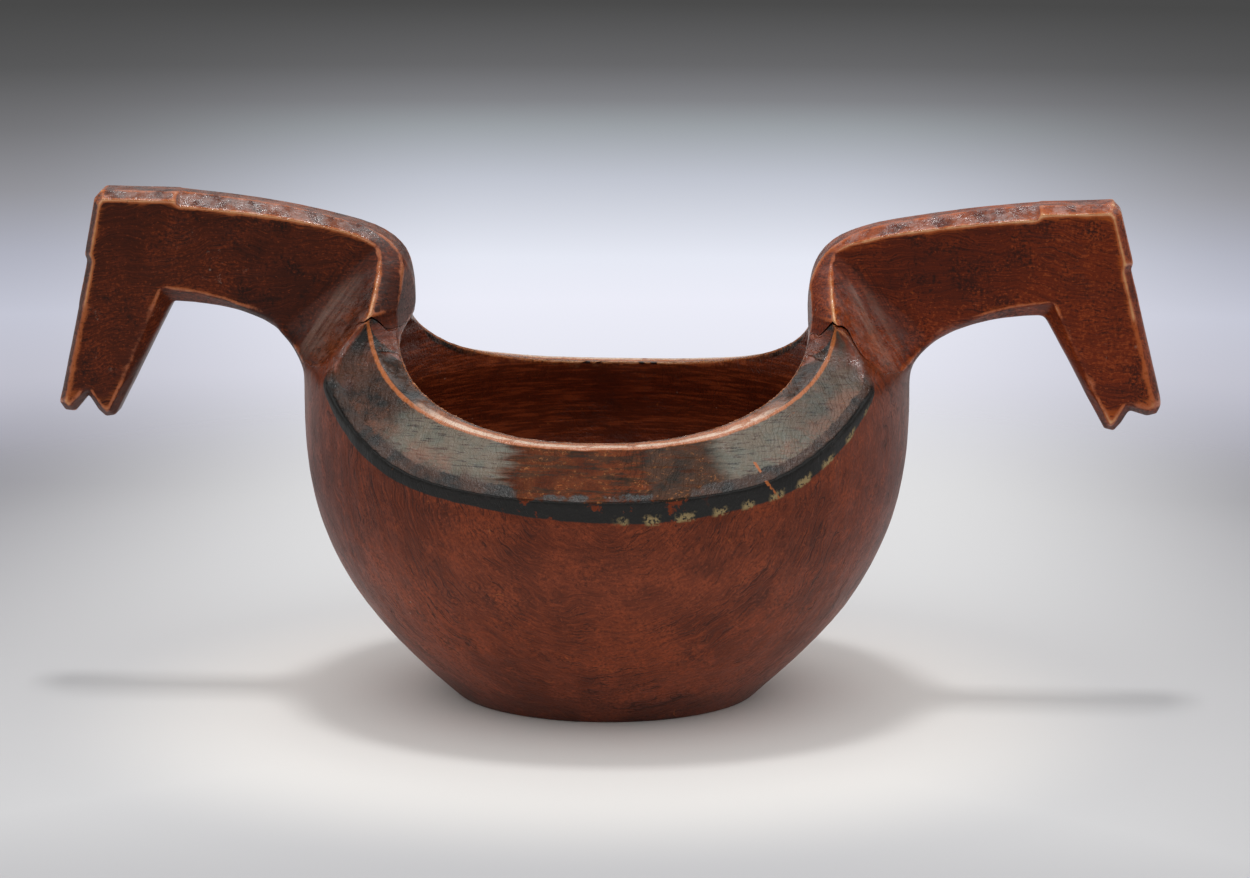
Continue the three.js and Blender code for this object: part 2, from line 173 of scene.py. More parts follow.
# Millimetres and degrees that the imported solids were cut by, so that the paint follows the
# carved arrises, and how far the black stripe reaches down at each bearing
mouth = {
    "rimRadius": 86.4,
    "rimReach": 80.0,
    "dipRoundness": 2.5,
    "mouthHeight": 102.9,
    "jointHeight": 137.2,
    "bandSlopeFront": 38,
    "bandSlopeNeck": 14,
    "bandEase": (30, 80),
    "stripeBearings": [-70, -57, -48, -36, -21, -3, 12, 28, 42, 54, 62, 68],
    "stripeHeights": [2.0, 4.8, 5.4, 4.6, 5.0, 7.2, 8.2, 7.2, 7.0, 5.8, 4.0, 1.5],
}


# Where each point lies against the dipping rim, the sloping band and the stripe. A bearing is 0
# at the front and positive to the right, and the back is the front turned by half a turn
def paintLines(at):
    radius = np.hypot(at[:, 0], at[:, 1])
    bearing = np.arctan2(at[:, 0], np.abs(at[:, 1]))
    across = np.clip(mouth["rimRadius"] * np.sin(np.abs(bearing)) / mouth["rimReach"], 0, 1)
    turn = np.arcsin(across ** (mouth["dipRoundness"] / 2))
    dip = np.cos(turn) ** (2 / mouth["dipRoundness"])
    rim = mouth["jointHeight"] - (mouth["jointHeight"] - mouth["mouthHeight"]) * dip
    ease = rise(np.degrees(turn), *mouth["bandEase"])
    slope = mouth["bandSlopeFront"] + (mouth["bandSlopeNeck"] - mouth["bandSlopeFront"]) * ease
    band = rim - (radius - mouth["rimRadius"]) * np.tan(np.radians(slope))
    signed = np.degrees(bearing) * -np.sign(at[:, 1])
    depth = np.interp(signed, mouth["stripeBearings"], mouth["stripeHeights"])
    overBand = at[:, 2] - band
    return {
        "radius": radius,
        "z": at[:, 2],
        "bearing": signed,
        "overRim": at[:, 2] - rim,
        "overBand": overBand,
        "downStripe": -overBand / depth,
    }


# Wear: how far the bend of a surface is spread, and how little hands reach what faces down
wear = {
    "edge": 2,
    "broadEdge": 30,
    "hiddenShare": 0.3,
    "reached": (-0.55, 0.1),
    "shortestStep": 1e-4,
}


# How strongly the surface bends out, per millimetre: worn arrises are high, corners below zero
def edgeSharpness(piece, rounds):
    at = positionsOf(piece) / mm
    normal = positionsOf(piece, "normal")
    flat = np.empty(len(piece.data.edges) * 2, np.int32)
    piece.data.edges.foreach_get("vertices", flat)
    first, second = flat.reshape(-1, 2).T
    step = at[first] - at[second]
    length = np.maximum((step ** 2).sum(1), wear["shortestStep"])
    bend = ((normal[first] - normal[second]) * step).sum(1) / length
    count = np.bincount(first, minlength=len(at)) + np.bincount(second, minlength=len(at))

    def gathered(toSecond, toFirst):
        return np.bincount(first, toFirst, len(at)) + np.bincount(second, toSecond, len(at))

    value = gathered(bend, bend) / np.maximum(count, 1)
    for _ in range(rounds):
        value = (value + gathered(value[first], value[second])) / (1 + count)
    return value


# Marks drawn as seen from the front, x and z in millimetres: the ridge that runs down each neck's
# flank, where a highlight is painted, and one long scratch through the band and the stripe
marksInFront = {
    "ridges": (((-84, 150), (-106, 119)), ((84, 150), (104, 116))),
    "ridgeTaper": 5,
    "ridgeSlant": (0.845, 0.54),
    "scratch": ((53.8, 99.1), (57.3, 94.6), (61.7, 88.6), (63.4, 85.0)),
    "scratchTaper": 0.35,
    "farOff": 99,
}


# Distance from a line in a plane, which grows towards the line's ends so that a mark tapers off
def distanceFromMark(at, start, end, taper):
    start, along = np.array(start, float), np.array(end, float) - np.array(start, float)
    share = ((at - start) @ along) / (along @ along)
    onLine = start + np.clip(share, 0, 1)[:, None] * along
    away = np.linalg.norm(at - onLine, axis=1)
    return away + taper * np.clip(np.abs(2 * share - 1), 0, 2) ** 3


def frontMarks(piece):
    at = positionsOf(piece) / mm
    inFront = at[:, [0, 2]]
    slant = marksInFront["ridgeSlant"]
    ridges = [distanceFromMark(inFront, *ends, marksInFront["ridgeTaper"])
              for ends in marksInFront["ridges"]]
    line = marksInFront["scratch"]
    parts = [distanceFromMark(inFront, *ends, marksInFront["scratchTaper"])
             for ends in zip(line, line[1:])]
    return {
        "ridge": np.minimum(*ridges),
        "acrossRidge": slant[0] * np.abs(at[:, 0]) + slant[1] * at[:, 2],
        "scratch": np.where(at[:, 1] < 0, np.min(parts, axis=0), marksInFront["farOff"]),
    }


hollow = {
    "radiusMm": 90,
    "aboveMm": 5,
    "floorRadiusMm": 72,
    "wallFacesIn": -0.2,
    "floorFacesUp": 0.2,
}


# 1 on the walls and floor of the hollow, 0 outside
def insideOf(piece):
    at = positionsOf(piece) / mm
    normal = positionsOf(piece, "normal")
    radius = np.maximum(np.hypot(at[:, 0], at[:, 1]), 1)
    outward = (normal[:, :2] * at[:, :2]).sum(1) / radius
    wall = outward < hollow["wallFacesIn"]
    floor = (radius < hollow["floorRadiusMm"]) & (normal[:, 2] > hollow["floorFacesUp"])
    return (wall | floor) & (radius < hollow["radiusMm"]) & (at[:, 2] > hollow["aboveMm"])


# Carving: the solids are joined, softened as one block of wood, and parted again at the cracks
carving = {
    "seamMm": 0.2,
    "voxelMm": 0.62,
    "softness": 0.5,
    "rounding": 3,
    "neckRounding": 180,
    "bandRounding": 60,
    "unevenMm": 0.5,
    "unevenSizeMm": 34,
    "toolMarkMm": 0.16,
    "toolMarkSizeMm": 9,
    "mostTriangles": 180000,
    "flatBaseMm": 3,
    "smoothBelowDeg": 50,
}

# Where the long rounding works, in millimetres and degrees
roundedPlaces = {
    "arris": 84,
    "arrisLean": 0.6,
    "leansAbove": 148,
    "pastArris": (0, 9),
    "flankEnds": (112, 124),
    "underBand": (1, 5),
    "bendStarts": (140, 152),
    "bendEnds": (156, 163),
    "bandStarts": (87.5, 90),
    "bandEnds": (99, 103),
    "bandDepth": (1.5, 2.5),
    "towardsNeck": (30, 50),
    "underJoint": (134, 137),
    "outerArris": (97, 101),
    "outerDepth": (-9, -5),
    "outerAside": ((0.4, (24, 36)), (0.6, (46, 60))),
}


# The two flanks of each neck, under the band and beside the strip over the bend
def neckFlanks(at):
    across, height = np.abs(at[:, 0]), at[:, 2]
    place = roundedPlaces
    arris = place["arris"] + place["arrisLean"] * np.maximum(height - place["leansAbove"], 0)
    flank = rise(across - arris, *place["pastArris"]) * fall(across, *place["flankEnds"])
    below = rise(-paintLines(at)["overBand"], *place["underBand"])
    below *= fall(height, *place["bendStarts"])
    above = rise(height, *place["bendStarts"]) * fall(height, *place["bendEnds"])
    return flank * np.clip(below + above, 0, 1)


# The band where it turns into the necks, and its outer arris there
def bandEnds(at):
    place, paint = roundedPlaces, paintLines(at)
    aside, radius = np.abs(paint["bearing"]), paint["radius"]
    toNeck = rise(aside, *place["towardsNeck"]) * fall(at[:, 2], *place["underJoint"])
    middle = rise(radius, *place["bandStarts"]) * fall(radius, *place["bandEnds"])
    middle *= toNeck * fall(np.abs(paint["overBand"]), *place["bandDepth"])
    outer = rise(radius, *place["outerArris"]) * rise(paint["overBand"], *place["outerDepth"])
    outer *= toNeck * sum(share * rise(aside, *span) for share, span in place["outerAside"])
    return np.maximum(middle, outer)


def swollen(piece, byMm):
    placeVertices(piece, positionsOf(piece) + positionsOf(piece, "normal") * byMm * mm)


def carvedBlock():
    parts = [copyOfNode(node) for node in ("bowl", "handle_left", "handle_right")]
    for part in parts:
        swollen(part, carving["seamMm"])
    pick(*parts)
    bpy.ops.object.join()
    block = bpy.context.object
    applyModifier(block, "REMESH", mode="VOXEL", voxel_size=carving["voxelMm"] * mm)
    swollen(block, -carving["seamMm"])
    soft = carving["softness"]
    applyModifier(block, "SMOOTH", factor=soft, iterations=carving["rounding"])
    at = positionsOf(block) / mm
    for label, weights, rounds in (
        ("neckFlanks", neckFlanks(at), carving["neckRounding"]),
        ("bandEnds", bandEnds(at), carving["bandRounding"]),
    ):
        group = addGroup(block, label, weights)
        applyModifier(block, "SMOOTH", factor=soft, iterations=rounds, vertex_group=group)
    free = addGroup(block, "free", rise(at[:, 2], 0, carving["flatBaseMm"]))
    for label, size, depth in (
        ("uneven", carving["unevenSizeMm"], carving["unevenMm"]),
        ("toolMark", carving["toolMarkSizeMm"], carving["toolMarkMm"]),
    ):
        clouds = bpy.data.textures.new(label, "CLOUDS")
        clouds.noise_scale = size * mm
        applyModifier(block, "DISPLACE", texture=clouds, texture_coords="LOCAL",
                      strength=depth * mm, mid_level=0.5, vertex_group=free)
    at = positionsOf(block)
    at[:, 2] = np.maximum(at[:, 2], 0)
    placeVertices(block, at)
    block.vertex_groups.clear()
    hidden = wear["hiddenShare"]
    reached = hidden + (1 - hidden) * rise(positionsOf(block, "normal")[:, 2], *wear["reached"])
    for label in ("edge", "broadEdge"):
        edge = edgeSharpness(block, wear[label])
        addAttribute(block, label, np.where(edge > 0, edge * reached, edge))
    return block


# The joint line across each neck, x and height in millimetres, and how far its crack stands open
joint = {
    "along": [58, 75, 79.5, 84.5, 91, 98, 122],
    "height": [131.5, 131.5, 137.2, 133.8, 125.2, 120.2, 116.8],
    "halfWidth": 50,
    "cells": 96,
    "rippleMm": 0.35,
    "rippleAlong": 0.9,
    "rippleSlant": 0.35,
    "rippleAside": 0.8,
    "rippleAsideShare": 0.7,
    "closedMm": 0.03,
    "openMm": {-1: 0.7, 1: 0.8},
    "openFrom": {-1: 70, 1: 72},
    "widestAt": 79,
    "openTo": {-1: 86, 1: 95},
    "openAside": (14, 26),
    "pegClearanceMm": 0.3,
}


# A thin sheet along a joint: as good as closed, and open where the crack shows at the arris
def crackSheet(side):
    deselectAll()
    cells = joint["cells"]
    bpy.ops.mesh.primitive_grid_add(x_subdivisions=cells, y_subdivisions=cells, size=1)
    sheet = bpy.context.object
    bpy.ops.object.mode_set(mode="EDIT")
    bpy.ops.mesh.extrude_region_move()
    bpy.ops.object.mode_set(mode="OBJECT")
    top = np.array([vertex.select for vertex in sheet.data.vertices])
    at = positionsOf(sheet)
    across = joint["along"][0] + (at[:, 0] + 0.5) * (joint["along"][-1] - joint["along"][0])
    front = at[:, 1] * 2 * joint["halfWidth"]
    ripple = np.sin(across * joint["rippleAlong"] + front * joint["rippleSlant"])
    ripple += np.sin(front * joint["rippleAside"] + side) * joint["rippleAsideShare"]
    height = np.interp(across, joint["along"], joint["height"]) + joint["rippleMm"] * ripple
    widest = joint["widestAt"]
    near = rise(across, joint["openFrom"][side], widest)
    near *= fall(across, widest, joint["openTo"][side])
    opened = joint["openMm"][side] * near * rise(np.abs(front), *joint["openAside"])
    gap = joint["closedMm"] + opened
    height += np.where(top, gap / 2, -gap / 2)
    placeVertices(sheet, np.stack([side * across, front, height], 1) * mm)
    bpy.ops.object.mode_set(mode="EDIT")
    bpy.ops.mesh.select_all(action="SELECT")
    bpy.ops.mesh.normals_make_consistent(inside=False)
    bpy.ops.object.mode_set(mode="OBJECT")
    return sheet


def pegHole(node):
    low, high = [np.array(corner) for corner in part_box(node)]
    clearance = joint["pegClearanceMm"] * mm
    deselectAll()
    bpy.ops.mesh.primitive_cylinder_add(
        vertices=48, radius=(high[0] - low[0]) / 2 + clearance,
        depth=high[2] - low[2] + 2 * clearance, location=(low + high) / 2)
    return bpy.context.object


def cutAway(piece, cutters):
    pick(*cutters)
    bpy.ops.object.join()
    cutter = bpy.context.object
    applyModifier(piece, "BOOLEAN", operation="DIFFERENCE", solver="MANIFOLD", object=cutter)
    bpy.data.objects.remove(cutter)


def partedBlock():
    block = carvedBlock()
    print("stage: block carved,", trianglesOf(block), "triangles")
    cutAway(block, [pegHole(node) for node in ("peg_left", "peg_right")])
    cutAway(block, [crackSheet(side) for side in (-1, 1)])
    pick(block)
    bpy.ops.object.mode_set(mode="EDIT")
    bpy.ops.mesh.select_all(action="SELECT")
    bpy.ops.mesh.separate(type="LOOSE")
    bpy.ops.object.mode_set(mode="OBJECT")
    pieces = sorted(bpy.context.selected_objects, key=lambda p: -len(p.data.vertices))
    for crumb in pieces[3:]:
        bpy.data.objects.remove(crumb)
    body, *arms = pieces[:3]
    left, right = sorted(arms, key=lambda p: positionsOf(p)[:, 0].mean())
    return {"bowl": body, "handle_left": left, "handle_right": right}


names = {"bowl": "carvedBowl", "handle_left": "leftHorseHandle", "handle_right": "rightHorseHandle"}
pieces = partedBlock()
for node, piece in pieces.items():
    piece.name = names[node]
    have = trianglesOf(piece)
    if have > carving["mostTriangles"]:
        applyModifier(piece, "DECIMATE", ratio=carving["mostTriangles"] / have)
    carried = {
        **paintLines(positionsOf(piece) / mm),
        **frontMarks(piece),
        "inside": insideOf(piece),
        "upward": positionsOf(piece, "normal")[:, 2],
    }
    for key, values in carried.items():
        addAttribute(piece, key, values)
    pick(piece)
    bpy.ops.object.shade_smooth_by_angle(angle=math.radians(carving["smoothBelowDeg"]))
    print("stage:", piece.name, trianglesOf(piece), "triangles")


def linear(hexColour):
    parts = [int(hexColour[i:i + 2], 16) / 255 for i in (1, 3, 5)]
    return [p / 12.92 if p <= 0.04045 else ((p + 0.055) / 1.055) ** 2.4 for p in parts] + [1]


# Adds a node, sets or links its inputs, and hands back one output
def add(tree, kind, inputs=(), out=0, **settings):
    node = tree.nodes.new("ShaderNode" + kind)
    for key, value in settings.items():
        setattr(node, key, value)
    for key, value in inputs.items() if isinstance(inputs, dict) else enumerate(inputs):
        if isinstance(value, bpy.types.NodeSocket):
            tree.links.new(value, node.inputs[key])
        elif value is not None:
            node.inputs[key].default_value = value
    return node.outputs[out]


# A mask that goes from 0 to 1 over a span of some value, its edge broken up by a noise
def ragged(tree, value, span, noise=None, reach=0.0):
    low, high = span
    if noise:
        value = add(tree, "Math", [noise, reach, value], operation="MULTIPLY_ADD")
        low, high = low + reach / 2, high + reach / 2
    return add(tree, "MapRange", [value, low, high], interpolation_type="SMOOTHSTEP")


# Masks and strengths, multiplied
def product(tree, first, *others):
    for other in others:
        first = add(tree, "Math", [first, other], operation="MULTIPLY")
    return first


# One more coat over the paint so far, where the mask says so
def coat(tree, under, mask, colour, roughness, gloss=None):
    colour = linear(colour) if isinstance(colour, str) else colour
    over = {
        "colour": add(tree, "Mix", {0: mask, 6: under["colour"], 7: colour}, out=2,
                      data_type="RGBA"),
        "roughness": add(tree, "Mix", {0: mask, 2: under["roughness"], 3: roughness}),
        "gloss": under["gloss"],
    }
    if gloss is not None:
        over["gloss"] = add(tree, "Mix", {0: mask, 2: under["gloss"], 3: gloss})
    return over


# A new material, its place in millimetres, and what its surface carries by name: attributes,
# and noises given as size in millimetres, detail and roughness
def newMaterial(name, attributes=(), noises=None):
    material = bpy.data.materials.new(name)
    material.use_nodes = True
    tree = material.node_tree
    inMetres = add(tree, "TexCoord", out="Object")
    at = add(tree, "VectorMath", {0: inMetres, 3: 1 / mm}, operation="SCALE")
    on = {key: add(tree, "Attribute", out="Fac", attribute_name=key) for key in attributes}
    for key, (sizeMm, detail, roughness) in (noises or {}).items():
        on[key] = add(tree, "TexNoise", [at, None, 1 / sizeMm, detail, roughness])
    return material, tree, at, on


paintNoises = {
    "blotch": (34, 3, 0.55),
    "mottle": (8, 5, 0.65),
    "fleck": (1.1, 4, 0.6),
    "patch": (22, 2, 0.55),
    "sooty": (19, 4, 0.7),
    "scuffed": (4, 5, 0.8),
    "sleek": (4.0, 4, 0.7),
    "waxed": (6.0, 5, 0.7),
}
bowlNoises = {**paintNoises, "speck": (1.6, 5, 0.8)}
handleAttributes = ("upward", "edge", "broadEdge", "ridge", "acrossRidge")
bowlAttributes = handleAttributes + (
    "z", "radius", "bearing", "overRim", "overBand", "downStripe", "inside", "scratch")

bodyPaint = {
    "main": "#7a351b",
    "deep": "#602711",
    "bright": "#974423",
    "grain": "#36170e",
    "spark": "#a04a26",
    "grime": "#24110b",
    "bare": "#b8662f",
    "paleWearAndHighlight": "#e0a878",
    # chalk colours pale scuffs and dots, and the painted highlight along each neck's flank ridge
    "chalk": "#97796a",
    "pith": (5, 99),
    "grainMask": (0.40, 0.60),
    "deepPatches": (0.6, 0.36),
    "brightPatches": (0.48, 0.7),
    "darkFibres": (0.5, 0.34),
    "brightFibres": (0.52, 0.68),
    "darkSpecks": (0.52, 0.62),
    "lightSpecks": (0.47, 0.38),
    "yearLines": 0.75,
    "wearFrom": 0.17,
    "wearTo": 0.34,
    "flecks": 0.55,
    "topWear": 0.1,
    # ridge: strength of the dark streaks and of the painted highlight on each neck's flank
    "ridge": 0.42,
    "broadWear": 0.25,
    "soot": 0.35,
    "scuffs": 0.25,
    "gloss": 0.36,
}

# The wood under the paint: year rings round a pith, bent by a wide noise. The scales are steps
# per millimetre outwards, per radian round the pith and per millimetre from front to back
wood = {
    "bendMm": 24,
    "bendBy": (13, 13, 13),
    "bendMiddle": 6.5,
    "ringScale": 1.7,
    "turnScale": 8.0,
    "depthScale": 0.12,
    "yearStretch": (0.42, 0.3, 0.5),
    "yearLine": (0.026, 0.008),
    "speckStretch": (1.0, 6.5, 10.0),
    "speckMm": 0.8,
}


def woodGrain(tree, at, look):
    warp = add(tree, "TexNoise", [at, None, 1 / wood["bendMm"], 3, 0.55], out="Color")
    bent = add(tree, "VectorMath", {0: warp, 1: wood["bendBy"], 2: at}, operation="MULTIPLY_ADD")
    x, y, z = (add(tree, "SeparateXYZ", [bent], out=axis) for axis in "XYZ")
    across = add(tree, "Math", [x, look["pith"][0] + wood["bendMiddle"]], operation="SUBTRACT")
    below = add(tree, "Math", [look["pith"][1] + wood["bendMiddle"], z], operation="SUBTRACT")
    flat = add(tree, "CombineXYZ", [across, below])
    ring = add(tree, "VectorMath", [flat], out="Value", operation="LENGTH")
    turn = add(tree, "Math", [across, below], operation="ARCTAN2")
    fibreAt = add(tree, "CombineXYZ", [
        add(tree, "Math", [ring, wood["ringScale"]], operation="MULTIPLY"),
        add(tree, "Math", [turn, wood["turnScale"]], operation="MULTIPLY"),
        add(tree, "Math", [y, wood["depthScale"]], operation="MULTIPLY")])
    yearAt = add(tree, "VectorMath", [fibreAt, wood["yearStretch"]], operation="MULTIPLY")
    speckAt = add(tree, "VectorMath", [fibreAt, wood["speckStretch"]], operation="MULTIPLY")
    year = add(tree, "TexNoise", [yearAt, None, 1.0, 1.5, 0.4])
    offLine = add(tree, "Math", [year, 0.5], operation="SUBTRACT")
    return {
        "fibre": add(tree, "TexNoise", [fibreAt, None, 1.0, 4, 0.6]),
        "offYearLine": add(tree, "Math", [offLine], operation="ABSOLUTE"),
        "drawnSpeck": add(tree, "TexNoise", [speckAt, None, 1 / wood["speckMm"], 4, 0.7]),
    }


# Gloss shows on faces that look up, which hands polish, and hardly on the steep ones
polish = {
    "faces": (0.45, 0.72),
    "steepGloss": 0.24,
    "levelGloss": 0.95,
    "sleek": (0.4, 0.6, 0.3, 1.25),
    "waxed": (0.42, 0.56, 0.25, 1.4),
}


# Old iron-oxide oil paint on birch: red-brown, with fine fibres and dark year rings showing
# through, softly glossy from wax and handling
def redPaint(tree, at, on, look):
    on.update(woodGrain(tree, at, look))
    blotch, mottle, fleck, fibre = (on[key] for key in ("blotch", "mottle", "fleck", "fibre"))
    polished = ragged(tree, on["upward"], polish["faces"])
    level = add(tree, "MapRange", [polished, 0.0, 1.0, polish["steepGloss"], polish["levelGloss"]])
    paint = {"colour": linear(look["main"]), "roughness": look["gloss"], "gloss": level}
    deep = product(tree, ragged(tree, blotch, look["deepPatches"], mottle, 0.3), 0.8)
    paint = coat(tree, paint, deep, look["deep"], look["gloss"] + 0.08)
    bright = product(tree, ragged(tree, mottle, look["brightPatches"], blotch, 0.3), 0.7)
    paint = coat(tree, paint, bright, look["bright"], look["gloss"] + 0.04)
    darkFibre = product(tree, ragged(tree, fibre, look["darkFibres"], fleck, 0.2), 0.4)
    paint = coat(tree, paint, darkFibre, look["grain"], 0.46)
    brightFibre = product(tree, ragged(tree, fibre, look["brightFibres"], fleck, 0.2), 0.55)
    paint = coat(tree, paint, brightFibre, look["bright"], 0.4)
    onLine = ragged(tree, on["offYearLine"], wood["yearLine"])
    on["yearLines"] = product(tree, onLine, ragged(tree, on["patch"], look["grainMask"]))
    lines = product(tree, on["yearLines"], look["yearLines"])
    paint = coat(tree, paint, lines, look["grain"], 0.5)
    mixed = add(tree, "Math", [fleck, on["drawnSpeck"]], operation="ADD")
    specks = product(tree, mixed, 0.5)
    dark = product(tree, ragged(tree, specks, look["darkSpecks"], mottle, 0.3), look["flecks"])
    paint = coat(tree, paint, dark, look["grain"], 0.55)
    light = product(tree, ragged(tree, specks, look["lightSpecks"], blotch, -0.3), look["flecks"])
    return coat(tree, paint, light, look["spark"], 0.4)


# What years of handling leave on top of any paint, and the painted highlight along each neck's
# flank ridge. The spans are where each mark begins and is full, on its noise, on millimetres from a
# mark or on the bend of the surface
handling = {
    "cutsMm": 23,
    "cutsBendMm": 13,
    "cutsBendBy": (15, 15, 15),
    "cutWidth": (0.010, 0.003),
    "cutPatches": (0.6, 0.7),
    "sootCover": (0.53, 0.66),
    "sootGaps": (0.38, 0.6),
    "scuffCover": (0.63, 0.7),
    "scuffPatches": (0.5, 0.6),
    "ridgeStreakMm": 1.5,
    "ridgeStreakAlong": (0.05, 0.05, 0.05),
    "ridgeHighlightSpan": (6.5, 1.0),
    "ridgeHighlightStreaks": (0.34, 0.62),
    "besideRidge": (4.0, 6.0),
    "pastRidge": (17.0, 8.0),
    "besideStreaks": (0.48, 0.6),
    "broadArris": (0.06, 0.17),
    "broadFibres": (0.44, 0.6),
    "dotsMm": 9,
    "dotSize": (0.055, 0.03),
    "dotPatches": (0.52, 0.6),
    "corners": (-0.1, -0.4),
    "arrisGaps": (0.28, 0.5),
    "paleBeyond": 0.3,
    "topFaces": (0.6, 0.74),
    "topPatches": (0.36, 0.6),
}


def handledAndHighlighted(tree, at, paint, on, look, spared=None):
    edge, ridge = on["edge"], on["ridge"]
    blotch, mottle, fleck = (on[key] for key in ("blotch", "mottle", "fleck"))
    cells = add(tree, "TexNoise", [at, None, 1 / handling["cutsBendMm"], 2, 0.55], out="Color")
    bent = add(tree, "VectorMath", [cells, handling["cutsBendBy"], at], operation="MULTIPLY_ADD")
    cuts = add(tree, "TexVoronoi", {0: bent, 2: 1 / handling["cutsMm"]}, feature="DISTANCE_TO_EDGE")
    cut = product(tree, ragged(tree, cuts, handling["cutWidth"]),
                  ragged(tree, mottle, handling["cutPatches"]))
    paint = coat(tree, paint, product(tree, cut, 0.7), look["bare"], 0.5)
    soot = product(tree, ragged(tree, on["sooty"], handling["sootCover"]),
                   ragged(tree, fleck, handling["sootGaps"]), look["soot"])
    paint = coat(tree, paint, soot, look["grime"], 0.5)
    scuff = product(tree, ragged(tree, on["scuffed"], handling["scuffCover"]),
                    ragged(tree, blotch, handling["scuffPatches"]), look["scuffs"])
    paint = coat(tree, paint, scuff, look["chalk"], 0.5)

    # The neck's flank: a painted highlight in a chalky colour along the ridge, with dark streaks
    # beside it, drawn along the slant
    along = add(tree, "Mapping", [at, None, None, handling["ridgeStreakAlong"]])
    slant = add(tree, "CombineXYZ", [on["acrossRidge"], 0.0, 0.0])
    along = add(tree, "VectorMath", [along, slant], operation="ADD")
    rubs = add(tree, "TexNoise", [along, None, 1 / handling["ridgeStreakMm"], 4, 0.65])
    dull = product(tree, ragged(tree, ridge, handling["besideRidge"]),
                   ragged(tree, ridge, handling["pastRidge"], mottle, 6.0),
                   ragged(tree, rubs, handling["besideStreaks"]), look["ridge"])
    paint = coat(tree, paint, dull, look["grime"], 0.5)
    paintedHighlight = product(tree, ragged(tree, ridge, handling["ridgeHighlightSpan"], mottle, 3.0),
                  ragged(tree, rubs, handling["ridgeHighlightStreaks"]), look["ridge"])
    paint = coat(tree, paint, paintedHighlight, look["chalk"], 0.4)

    dots = add(tree, "TexVoronoi", {0: at, 2: 1 / handling["dotsMm"]}, feature="F1")
    chalk = product(tree, ragged(tree, dots, handling["dotSize"]),
                    ragged(tree, blotch, handling["dotPatches"]))
    paint = coat(tree, paint, chalk, look["chalk"], 0.6)
    grime = product(tree, ragged(tree, edge, handling["corners"], mottle, 0.2), 0.6)
    paint = coat(tree, paint, grime, look["grime"], 0.6)

    # Wood on the faces that look up, beside the arrises, on them, and pale where they are sharpest,
    # which is bare wood with a painted highlight
    onTop = product(tree, ragged(tree, on["upward"], handling["topFaces"]),
                    ragged(tree, mottle, handling["topPatches"]), look["topWear"])
    broad = product(tree, ragged(tree, on["broadEdge"], handling["broadArris"], mottle, 0.16),
                    ragged(tree, on["fibre"], handling["broadFibres"]), look["broadWear"])
    worn = product(tree, ragged(tree, edge, (look["wearFrom"], look["wearTo"]), mottle, 0.4),
                   ragged(tree, fleck, handling["arrisGaps"]))
    paleWearAndHighlightSpan = (look["wearTo"], look["wearTo"] + handling["paleBeyond"])
    paleWearAndHighlight = ragged(tree, edge, paleWearAndHighlightSpan, mottle, 0.5)
    if spared:
        kept = add(tree, "Math", [1.0, spared], operation="SUBTRACT")
        broad, worn, paleWearAndHighlight = (product(tree, mask, kept) for mask in (broad, worn, paleWearAndHighlight))
    paint = coat(tree, paint, onTop, look["bare"], 0.3)
    paint = coat(tree, paint, broad, look["bare"], 0.34)
    paint = coat(tree, paint, worn, look["bare"], 0.3, 0.7)
    return coat(tree, paint, product(tree, paleWearAndHighlight, 0.7), look["paleWearAndHighlight"], 0.24, 0.9)


# Fine relief of the painted wood, and the refraction of oil paint
relief = {
    "depthMm": 0.2,
    "fleck": 0.55,
    "yearLine": -0.25,
    "levelFaces": (0.5, 0.72),
    "levelDepth": 2.2,
    "deeperDepth": 2.6,
    "ior": 1.46,
}


def finish(tree, paint, on, deeper=None, dull=None):
    shader = tree.nodes["Principled BSDF"]
    height = on["mottle"]
    for key, share in (("fleck", relief["fleck"]), ("yearLines", relief["yearLine"])):
        height = add(tree, "Math", [on[key], share, height], operation="MULTIPLY_ADD")
    level = ragged(tree, on["upward"], relief["levelFaces"])
    depth = add(tree, "MapRange", [level, 0.0, 1.0, 1.0, relief["levelDepth"]])
    height = product(tree, height, depth)
    if deeper:
        depth = add(tree, "MapRange", [deeper, 0.0, 1.0, 1.0, relief["deeperDepth"]])
        height = product(tree, height, depth)
    highest = relief["depthMm"] * mm
    bump = add(tree, "Bump", {"Strength": 1.0, "Distance": highest, "Height": height})
    polished = ragged(tree, on["upward"], polish["faces"])
    if dull:
        polished = product(tree, polished, add(tree, "Math", [1.0, dull], operation="SUBTRACT"))
    sleek = add(tree, "MapRange", [on["sleek"], *polish["sleek"]])
    sleek = add(tree, "Mix", {0: polished, 2: 1.0, 3: sleek})
    waxed = add(tree, "MapRange", [on["waxed"], *polish["waxed"]])
    waxed = add(tree, "Mix", {0: polished, 2: 1.0, 3: waxed})
    tree.links.new(bump, shader.inputs["Normal"])
    tree.links.new(paint["colour"], shader.inputs["Base Color"])
    tree.links.new(product(tree, paint["roughness"], sleek), shader.inputs["Roughness"])
    tree.links.new(product(tree, paint["gloss"], waxed), shader.inputs["Specular IOR Level"])
    shader.inputs["IOR"].default_value = relief["ior"]


def handlePaint(name, look):
    material, tree, at, on = newMaterial(name, handleAttributes, paintNoises)
    paint = redPaint(tree, at, on, look)
    paint = handledAndHighlighted(tree, at, paint, on, look)
    finish(tree, paint, on)
    return material


